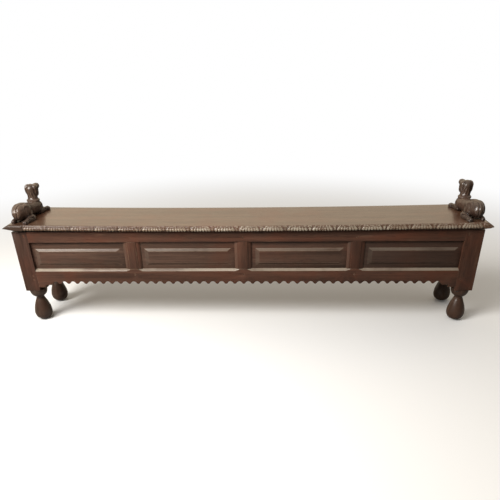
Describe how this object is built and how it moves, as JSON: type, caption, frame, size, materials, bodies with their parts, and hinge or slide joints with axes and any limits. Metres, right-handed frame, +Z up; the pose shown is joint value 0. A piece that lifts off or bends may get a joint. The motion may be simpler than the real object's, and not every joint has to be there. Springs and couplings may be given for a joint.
{
  "type": "box settle bench",
  "caption": "Long low box settle in dark oak: bowed carved lid, raised panels, scalloped rail, turned feet, a carved hound at each end.",
  "frame": {"origin": "on the floor, under the middle of the whole bench", "axes": "+X along the bench to the right as the viewer faces it, +Y to the back, +Z up"},
  "size_m": [1.9506, 0.293, 0.5644],
  "materials": {
    "frame_oak": "satin",
    "panel_oak": "satin",
    "lid_oak": "semi-gloss",
    "carved_oak": "semi-gloss",
    "turned_oak": "satin",
    "inside_oak": "matte",
    "iron": "matte"
  },
  "bodies": {
    "box": {"back_bottom_rail": "frame_oak", "back_muntin_left": "frame_oak", "back_muntin_middle": "frame_oak", "back_muntin_right": "frame_oak", "back_panel_1": "panel_oak", "back_panel_2": "panel_oak", "back_panel_3": "panel_oak", "back_panel_4": "panel_oak", "back_stile_left": "frame_oak", "back_stile_right": "frame_oak", "back_top_rail": "frame_oak", "corner_block_back_left": "inside_oak", "corner_block_back_right": "inside_oak", "corner_block_front_left": "inside_oak", "corner_block_front_right": "inside_oak", "floor_board_back": "inside_oak", "floor_board_front": "inside_oak", "floor_cleat_back": "inside_oak", "floor_cleat_front": "inside_oak", "foot_back_left": "turned_oak", "foot_back_right": "turned_oak", "foot_front_left": "turned_oak", "foot_front_right": "turned_oak", "foot_glides": "iron", "frame_pegs": "frame_oak", "front_bottom_rail": "frame_oak", "front_muntin_left": "frame_oak", "front_muntin_middle": "frame_oak", "front_muntin_right": "frame_oak", "front_panel_1": "panel_oak", "front_panel_2": "panel_oak", "front_panel_3": "panel_oak", "front_panel_4": "panel_oak", "front_stile_left": "frame_oak", "front_stile_right": "frame_oak", "front_top_rail": "frame_oak", "hinge_box_leaf_left": "iron", "hinge_box_leaf_middle": "iron", "hinge_box_leaf_right": "iron", "hinge_pin_left": "iron", "hinge_pin_middle": "iron", "hinge_pin_right": "iron", "left_end_bottom_rail": "frame_oak", "left_end_panel": "panel_oak", "left_end_top_rail": "frame_oak", "right_end_bottom_rail": "frame_oak", "right_end_panel": "panel_oak", "right_end_top_rail": "frame_oak"},
    "lid": {"lid_board": "lid_oak", "hound_left": "carved_oak", "hound_right": "carved_oak", "hound_dowels": "inside_oak", "hinge_lid_leaf_left": "iron", "hinge_lid_leaf_middle": "iron", "hinge_lid_leaf_right": "iron"}
  },
  "joints": [
    {"name": "lid_hinge", "type": "hinge", "parent": "box", "child": "lid", "pos_m": [0, 0.142, 0.4135], "axis": [-1, 0, 0], "range_deg": [0, 95]}
  ]
}
